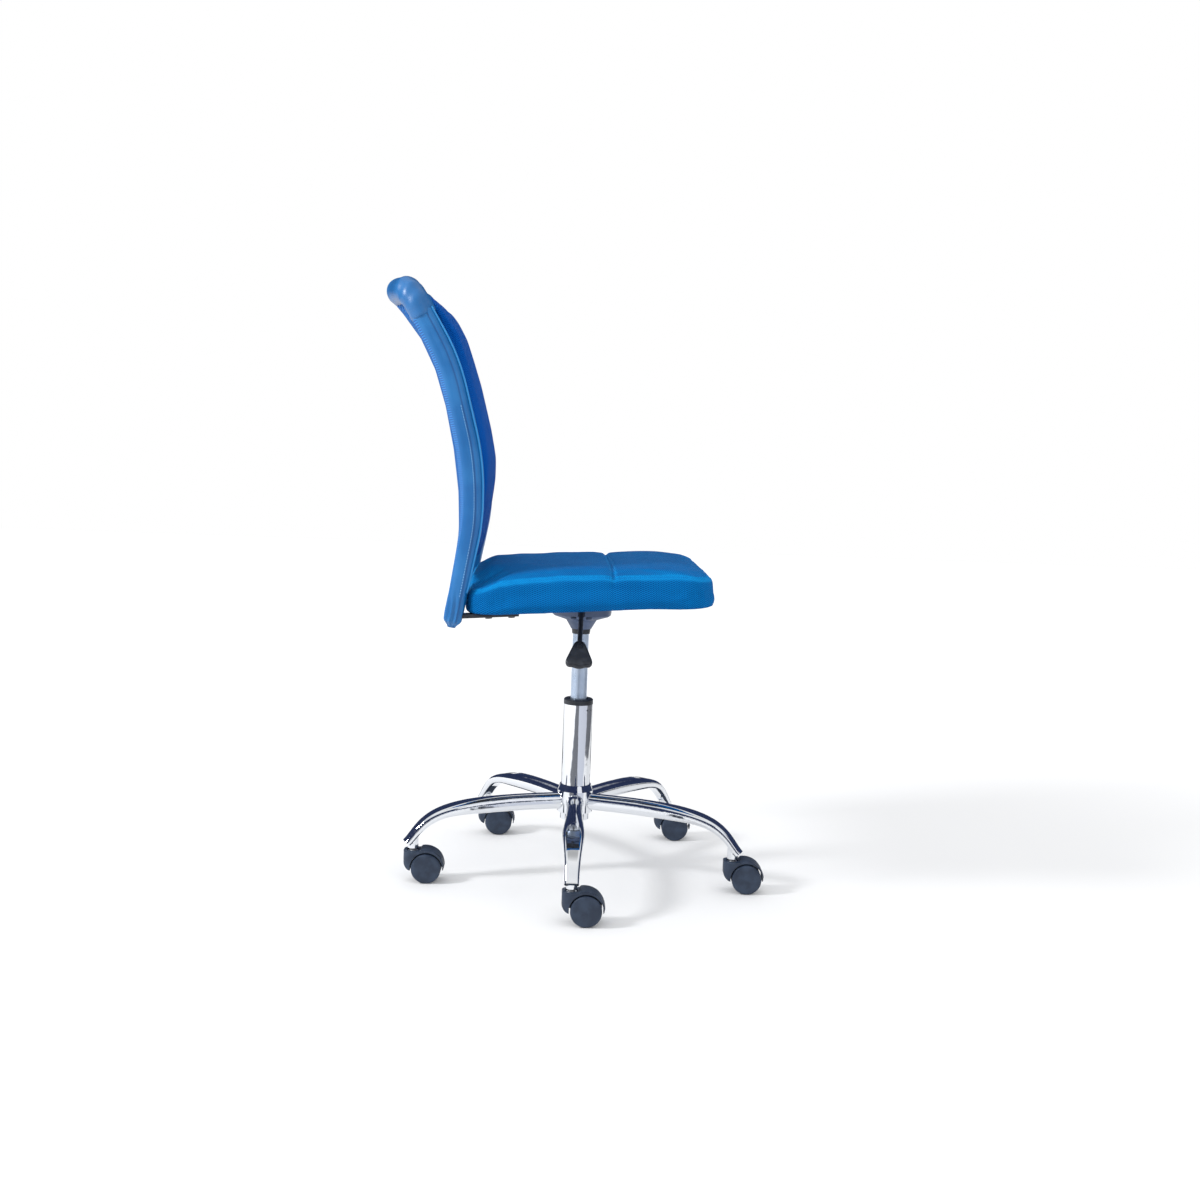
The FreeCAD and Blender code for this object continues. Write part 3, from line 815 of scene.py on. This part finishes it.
def stripRow(z, point, ahead):
    # the strip's depth at a height, its middle there, and the way forward across it
    forward = Vector((1, 0, 0)).cross(ahead).normalized()
    depth = between(z, back["strip"])
    return depth, point + forward * between(z, back["strip"], 2) * mm, forward


def makeStrip(name, side, replaced):
    line = sideLine(side * back["offset"])
    outward = Vector((side, 0, 0))
    count = back["stripAround"]
    rings = []
    places = []
    for j, (point, ahead) in enumerate(zip(line, tangents(line))):
        z = point.z / mm
        depth, place, forward = stripRow(z, point, ahead)
        gather = 1 - eased(z, 470, 520)
        closing = 1 - 0.55 * (1 - eased(j, 0, 4)) * gather
        ring = []
        row = []
        for i, spot in enumerate(roundedOutline(back["stripWidth"], depth, 0.42 * min(depth, 34), count)):
            u, v = spot.x, spot.y
            swell = 1.2 * math.exp(-((v - 10) / 7) ** 2) if u > 10 else 0.0
            if u > 8:
                swell -= 1.5 * math.exp(-((v - back["seam"]) / 1.5) ** 2) * eased(z, 500, 560)
            folds = math.sin(i * 1.35 + 2.2 * math.sin(z * 0.05))
            swell += 1.4 * gather * folds * eased(abs(u) + abs(v), 10, 20)
            swell += 0.8 * noise.noise(Vector((i * 0.16, j * 0.05, side * 3.0)))
            gain = (1 + swell / math.hypot(u, v)) * closing
            ring.append(place + (outward * u + forward * v) * gain * mm)
            row.append((v * mm, z * mm))
        rings.append(ring)
        places.append(row)
    strip = ringMesh(name, rings, marks=lambda j, i: places[j][i % count])
    settle(strip, looks["side_strip"], "seat", "blue_leather", replaced)

    # a thin welt on the strip's front edge, and the topstitch beside its seam
    welt = []
    stitches = []
    for point, ahead in zip(line, tangents(line)):
        z = point.z / mm
        depth, place, forward = stripRow(z, point, ahead)
        if z > back["weltFrom"]:
            welt.append(place + (outward * back["weltOut"] + forward * (depth / 2 - 1.2)) * mm)
        if back["stitchFrom"] < z < back["stitchTo"]:
            behind = forward * (back["seam"] - back["stitchBehind"])
            stitches.append(place + (outward * back["stitchOut"] + behind) * mm)
    piece = tubeAlong(name + "_welt", respaced(welt, 5 * mm), back["weltRadius"] * mm)
    settle(piece, looks["welt"], "seat", "blue_leather")
    row = respaced(stitches, back["stitchStep"] * mm)
    places = [(p, outward, a) for p, a in zip(row, tangents(row))]
    size = [length * mm for length in back["stitch"]]
    repeated(name + "_stitches", places, size, looks["thread"], "seat",
             spread=0.08, seed=3 + side)


def crossbarPoints():
    forward, z = back["side"][-1]
    half = back["offset"]
    left = [at(-half, forward, z), at(-half * 0.45, forward - back["bow"] * 0.85, z + 4)]
    return left + [Vector((-p.x, p.y, p.z)) for p in reversed(left)]


def makeTopRoll():
    points = crossbarPoints()
    below = at(-back["offset"], *back["side"][-2])
    first = points[0] + (below - points[0]).normalized() * back["strapEnd"] * mm
    last = Vector((-first.x, first.y, first.z))
    radii = [back["cornerRadius"], back["bowRadius"], back["bowRadius"], back["cornerRadius"]]
    line = filleted([first] + points + [last], radii, back["rollStep"] * mm)
    rings = []
    count = back["rollAround"]
    side = Vector((0, 1, 0))
    for j, (point, ahead) in enumerate(zip(line, tangents(line))):
        side = (side - ahead * side.dot(ahead)).normalized()
        other = ahead.cross(side)
        fromEnd = min(j, len(line) - 1 - j) * back["rollStep"]
        gather = math.exp(-((fromEnd - 40) / 22) ** 2)
        mouth = 1 - 0.06 * (1 - eased(fromEnd, 0, 4))
        ring = []
        for i in range(count):
            angle = tau * i / count
            radius = back["roll"] * mouth
            folds = math.sin(j * 0.9 + 1.5 * math.sin(angle * 2))
            radius += 0.9 * gather * folds * (0.4 + 0.6 * abs(math.sin(angle)))
            radius += 0.7 * noise.noise(Vector((math.cos(angle) * 1.3, math.sin(angle) * 1.3, j * 0.09)))
            ring.append(point + (side * math.cos(angle) + other * math.sin(angle)) * radius * mm)
        rings.append(ring)
    roll = ringMesh("back_top_roll", rings)
    settle(roll, looks["blue_leather"], "seat", "blue_leather", "back_top_sleeve")


rearMesh = {
    # height, forward of the mesh in the middle
    "middle": ((546, -214), (600, -213), (660, -216), (730, -226), (800, -241), (860, -260), (910, -285),
               (950, -316), (962, -327)),
    "half": 152.0,
    "behind": 14.0,           # its edges, behind the uprights' centre lines
    "rows": 105, "rowStep": 4,
    "halfColumns": 30, "columnStep": 5.1,
    "thickness": 1.0,
}


def uprightForward(z, line):
    # where the upright's centre line is at a height
    for low, high in zip(line, line[1:]):
        if low.z <= z * mm <= high.z:
            share = (z * mm - low.z) / (high.z - low.z)
            return -(low.y + (high.y - low.y) * share) / mm
    return -line[-1].y / mm


def makeRearMesh():
    line = sideLine(back["offset"])
    rings = []
    halfColumns = rearMesh["halfColumns"]
    for k in range(rearMesh["rows"]):
        z = rearMesh["middle"][0][0] + rearMesh["rowStep"] * k
        edge = uprightForward(z, line) - rearMesh["behind"]
        middle = between(z, rearMesh["middle"])
        ring = []
        for i in range(2 * halfColumns + 1):
            share = i / halfColumns - 1
            bulge = 1 - share * share
            ring.append(at(rearMesh["half"] * share, edge + (middle - edge) * bulge, z))
        rings.append(ring)

    def ribPlace(j, i):
        return (i - halfColumns) * rearMesh["columnStep"] * mm, j * rearMesh["rowStep"] * mm

    panel = ringMesh("back_rear_panel", rings, capped=False, closed=False, marks=ribPlace)
    modified(panel, "SOLIDIFY", thickness=rearMesh["thickness"] * mm, offset=0)
    settle(panel, looks["ribbed"], "seat", "blue_mesh", "back_rear_mesh")


pad = {
    # height, forward of its front, thickness
    "stations": ((549, -180, 15), (575, -174, 17), (600, -170, 18), (641, -164.5, 22), (680, -160, 26),
                 (715, -160, 27), (764, -169.5, 28), (834, -188, 31), (874, -200.5, 31), (913, -214.5, 31),
                 (942, -231, 27), (962, -246, 20), (977, -266, 11)),
    "half": 142.0,
    "corner": 26.0,
    "bow": 7.0,               # how far its sides fall back from the middle, in front
    "hollow": 3.0,            # and how far they stand out, behind
    "rows": 72, "around": 120,
    "heldFrom": 955,          # the height from which the roll holds it
    "sewn": {"voxel": 0.005, "pressure": 3.5, "cap": 0.0038, "frames": 20},
}


def padSeams(place):
    z = place.z / mm
    front = -place.y / mm
    depth = between(z, pad["stations"], 2)
    inset = between(z, pad["stations"]) - front
    welt = 1.2 * math.exp(-((inset - depth * 0.42) / 2.4) ** 2) * eased(abs(place.x), 0.12, 0.135)
    soft = 1.1 * noise.noise(place * 11.0) + 0.4 * noise.noise(place * 34.0)
    return (welt + soft * 0.8) * mm


def padThreads(place, normal):
    if abs(normal.x) > 0.75:
        return place.y, place.z
    return place.x, place.z


def makePad():
    rings = []
    bottom, top = pad["stations"][0][0], pad["stations"][-1][0]
    corner = pad["corner"]
    for k in range(pad["rows"]):
        z = bottom + (top - bottom) * k / (pad["rows"] - 1)
        front = between(z, pad["stations"])
        depth = between(z, pad["stations"], 2)
        fromEnd = min(z - bottom, corner)
        half = pad["half"] - corner + math.sqrt(corner ** 2 - (corner - fromEnd) ** 2)
        ring = []
        for spot in roundedOutline(2 * half, depth, 0.44 * depth, pad["around"]):
            share = spot.y / depth + 0.5
            out = (spot.x / pad["half"]) ** 2
            bow = pad["bow"] * out * share - pad["hollow"] * out * (1 - share)
            ring.append(at(spot.x, front - depth / 2 + spot.y - bow, z))
        rings.append(ring)
    cushion = ringMesh("back_pad", rings)
    sewn = dict(pad["sewn"], held=lambda place: place.z > pad["heldFrom"] * mm)
    swelled(cushion, sewn)
    pressedIn(cushion, padSeams)
    weaveMap(cushion, padThreads)
    settle(cushion, looks["pad_mesh"], "seat", "blue_mesh", "back_front_cover", "back_pad_foam")


# The lever's grip, hanging from the end of its rod.
grip = {
    "start": (-160.0, 428.0), "lean": 225.0, "turn": -2.0,
    # distance across and distance down, one half of the outline
    "outline": ((0, -0.5), (5, 0), (8.5, 3), (12, 11), (17, 25), (21.5, 37), (22, 42), (20, 47), (15, 49),
                (11, 48.2), (7, 50.5), (0, 52)),
    "middle": 31,             # down from the start, the place towards which the outline is drawn in
    # through the thickness: place, how far the outline is drawn in
    "section": ((-5.6, 4.5), (-5.2, 2.2), (-4.0, 0.8), (-2.0, 0.0), (2.0, 0.0), (4.0, 0.8), (5.2, 2.2),
                (5.6, 4.5)),
}


def makeGrip():
    half = [Vector((0, u, v)) for u, v in grip["outline"]]
    loop = half + [Vector((0, -p.y, p.z)) for p in reversed(half[1:-1])]
    middle = Vector((0, 0, grip["middle"]))
    turn = Matrix.Rotation(math.radians(grip["turn"]), 4, "Z")
    lean = Matrix.Rotation(math.radians(grip["lean"]), 4, "Y")
    x, z = grip["start"]
    rings = []
    for through, inset in grip["section"]:
        ring = []
        for p in loop:
            away = p - middle
            q = middle + away * max(0.1, 1 - inset / away.length) + Vector((through, 0, 0))
            ring.append(turn @ (lean @ q + Vector((x, 0, z))) * mm)
        rings.append(ring)
    paddle = ringMesh("lever_grip", rings)
    modified(paddle, "SUBSURF", levels=2, render_levels=2)
    settle(paddle, looks["black_plastic"], "lever", "black_plastic", "lever_paddle")


# Small metal details: weld dots on the caster sockets, crimps on the column, beads round the arms' roots.
welds = {
    "arms": 5,
    "firstArm": 178.5,        # degrees round the column
    "stem": 285.0, "socket": 9.0, "dotHeight": 66.5,
    "dot": (3.2, 3.2, 1.4),
    "hub": 31.0, "root": 14.2, "rootHeight": 127.0,
    "bead": (4.6, 3.0, 2.4), "beads": 26,
    "column": 25.0, "crimpHeight": 289.0, "crimps": (-38, -62),
}


def makeSmallParts():
    dots = []
    beads = []
    upward = Vector((0, 0, 1))
    for k in range(welds["arms"]):
        angle = math.radians(welds["firstArm"] + 360 / welds["arms"] * k)
        outward = Vector((math.cos(angle), math.sin(angle), 0))
        level = Vector((-outward.y, outward.x, 0))
        for sign in (-1, 1):
            aim = (level * sign + outward * 0.4).normalized()
            spot = (outward * welds["stem"] + aim * welds["socket"] + upward * welds["dotHeight"]) * mm
            dots.append((spot, aim, upward))
        for i in range(welds["beads"]):
            around = tau * i / welds["beads"]
            offset = (level * math.cos(around) + upward * math.sin(around)) * welds["root"]
            reach = math.sqrt(welds["hub"] ** 2 - offset.dot(level) ** 2)
            spot = (outward * reach + offset + upward * welds["rootHeight"]) * mm
            ahead = (upward * math.cos(around) - level * math.sin(around)).normalized()
            beads.append((spot, (outward + offset.normalized()).normalized(), ahead))
    for turn in welds["crimps"]:
        aim = Vector((-math.cos(math.radians(turn)), math.sin(math.radians(turn)), 0))
        dots.append(((aim * welds["column"] + upward * welds["crimpHeight"]) * mm, aim, upward))
    dot = [length * mm for length in welds["dot"]]
    bead = [length * mm for length in welds["bead"]]
    repeated("socket_weld_dots", dots, dot, looks["black_paint"], "base")
    repeated("hub_weld_beads", beads, bead, looks["chrome"], "base", spread=0.12, seed=5)


looks["side_strip"] = stripLook()
looks["ribbed"] = ribbedCloth()
# the third colour is for the painted highlight, which the pad stores no share for
looks["pad_mesh"] = meshCloth("pad mesh", (0.0, 0.030, 0.175), (0.0, 0.090, 0.400), (0.001, 0.12, 0.45))
looks["welt"] = threadLook("welt", (0.02, 0.23, 0.56))
looks["thread"] = threadLook("stitching thread", (0.20, 0.44, 0.72))
makeSeat()
print("seat made")
makeStrip("back_strip_right", -1, "back_side_sleeve_right")
makeStrip("back_strip_left", 1, "back_side_sleeve_left")
makeTopRoll()
makeRearMesh()
makePad()
print("back made")
makeGrip()
makeSmallParts()
print("small parts made")


camera = {
    "lens": 44.79,
    "sensor": 36.0,
    "distance": 2.557,        # from the column's axis
    "height": 0.7725,
    "behind": 1.5,            # degrees from square to the chair's right side, towards its back
    "pitch": 6.53,
    "pan": 0.687,
    "roll": 2.196,
}


def makeCamera():
    data = bpy.data.cameras.new("camera")
    data.lens = camera["lens"]
    data.sensor_width = camera["sensor"]
    data.clip_end = 50.0
    view = bpy.data.objects.new("camera", data)
    bpy.context.scene.collection.objects.link(view)
    turn = Matrix.Rotation(math.radians(-camera["behind"]), 4, "Z")
    place = turn @ Vector((-camera["distance"], 0.0, camera["height"]))
    pitch = math.radians(camera["pitch"])
    pan = math.radians(camera["pan"])
    roll = math.radians(camera["roll"])
    forward = Vector((math.cos(pitch) * math.cos(pan), -math.cos(pitch) * math.sin(pan), -math.sin(pitch)))
    level = forward.cross(Vector((0, 0, 1))).normalized()
    upward = level.cross(forward)
    right = math.cos(roll) * level + math.sin(roll) * upward
    top = -math.sin(roll) * level + math.cos(roll) * upward
    axes = Matrix((right, top, -forward)).transposed().to_4x4()
    view.matrix_world = Matrix.Translation(place) @ turn @ axes
    bpy.context.scene.camera = view


studio = {
    # share of the way up, colour of the room seen in reflections
    "walls": ((0.0, (0.30, 0.33, 0.40)), (0.48, (0.35, 0.38, 0.45)), (0.50, (0.03, 0.045, 0.10)),
              (0.78, (0.02, 0.03, 0.08)), (0.84, (0.75, 0.78, 0.82)), (0.97, (1.0, 1.0, 1.0)),
              (1.0, (0.5, 0.5, 0.5))),
    "light": 1.35,            # soft white light from all round
    # name, place, aimed at, size, power
    "lamps": (("key", (-0.86, 2.4, 1.95), (0, 0, 0.3), 0.5, 60.0),
              ("front", (-2.4, -1.4, 1.5), (0, 0, 0.5), 1.6, 6.0)),
    "floorHalf": 7,
    "glow": 0.22,             # of the floor, far from the chair
    "glowFrom": 0.9, "glowTo": 2.4,
    # cards on the floor that only reflections see: first corner, second corner, grey
    "cards": (((-2.8, -0.15), (-0.5, 0.55), 0.10), ((-2.8, -1.9), (-0.35, -0.15), 0.42),
              ((-0.35, -2.4), (1.4, -0.9), 0.10), ((0.7, -0.6), (2.4, 0.6), 0.06)),
}


def flatPiece(name, low, high, z):
    # a flat rectangle between two corners
    data = bpy.data.meshes.new(name)
    corners = [(low[0], low[1], z), (high[0], low[1], z), (high[0], high[1], z), (low[0], high[1], z)]
    data.from_pydata(corners, [], [(0, 1, 2, 3)])
    piece = bpy.data.objects.new(name, data)
    bpy.context.scene.collection.objects.link(piece)
    return piece


def makeStudio():
    half = studio["floorHalf"]
    floor = flatPiece("studio_floor", (-half, -half), (half, half), 0)
    look = Finish("pale floor", {"Base Color": rgba(0.655, 0.66, 0.67), "Roughness": 0.7,
                                 "Specular IOR Level": 0.0, "Emission Strength": studio["glow"]})
    away = look.node("VectorMath", {"operation": "LENGTH"}, [look.place()], out="Value")
    floor.data.materials.append(look.done(emission=away.smooth(studio["glowFrom"], studio["glowTo"])))
    for i, (low, high, grey) in enumerate(studio["cards"]):
        card = flatPiece("studio_card_%d" % (i + 1), low, high, mm)
        tint = Finish("card", {"Base Color": rgba(grey, grey * 1.05, grey * 1.2), "Roughness": 0.9})
        card.data.materials.append(tint.done())
        card.visible_camera = False
        card.visible_diffuse = False
        card.visible_shadow = False
    for name, place, aim, size, power in studio["lamps"]:
        data = bpy.data.lights.new(name, "AREA")
        data.shape = "DISK"
        data.size = size
        data.energy = power
        lamp = bpy.data.objects.new(name, data)
        bpy.context.scene.collection.objects.link(lamp)
        lamp.location = place
        lamp.rotation_euler = (Vector(aim) - Vector(place)).to_track_quat("-Z", "Y").to_euler()
    world = bpy.data.worlds.new("studio")
    bpy.context.scene.world = world
    world.use_nodes = True
    world.node_tree.nodes.clear()
    # the lens sees plain white, polished metal sees the walls, all else gets soft even light
    room = Tree(world.node_tree.nodes, world.node_tree.links)
    direction = room.node("TexCoord", out="Generated")
    height = room.node("SeparateXYZ", {}, [direction], out="Z") * 0.5 + 0.5
    walls = room.node("ValToRGB", {"ramp": studio["walls"]}, [height])
    mirrored = room.node("Background", {}, {"Color": walls, "Strength": 1.0})
    soft = room.node("Background", {}, {"Color": rgba(1, 1, 1), "Strength": studio["light"]})
    behind = room.node("Background", {}, {"Color": rgba(1, 1, 1), "Strength": 1.0})
    lit = room.node("MixShader", {}, [room.node("LightPath", out="Is Glossy Ray"), soft, mirrored])
    mixed = room.node("MixShader", {}, [room.node("LightPath", out="Is Camera Ray"), lit, behind])
    output = room.nodes.new("ShaderNodeOutputWorld")
    room.links.new(mixed.socket, output.inputs["Surface"])
    bpy.context.scene.view_settings.view_transform = "Standard"


makeCamera()
makeStudio()
print("camera and studio made")

print("all pieces made")
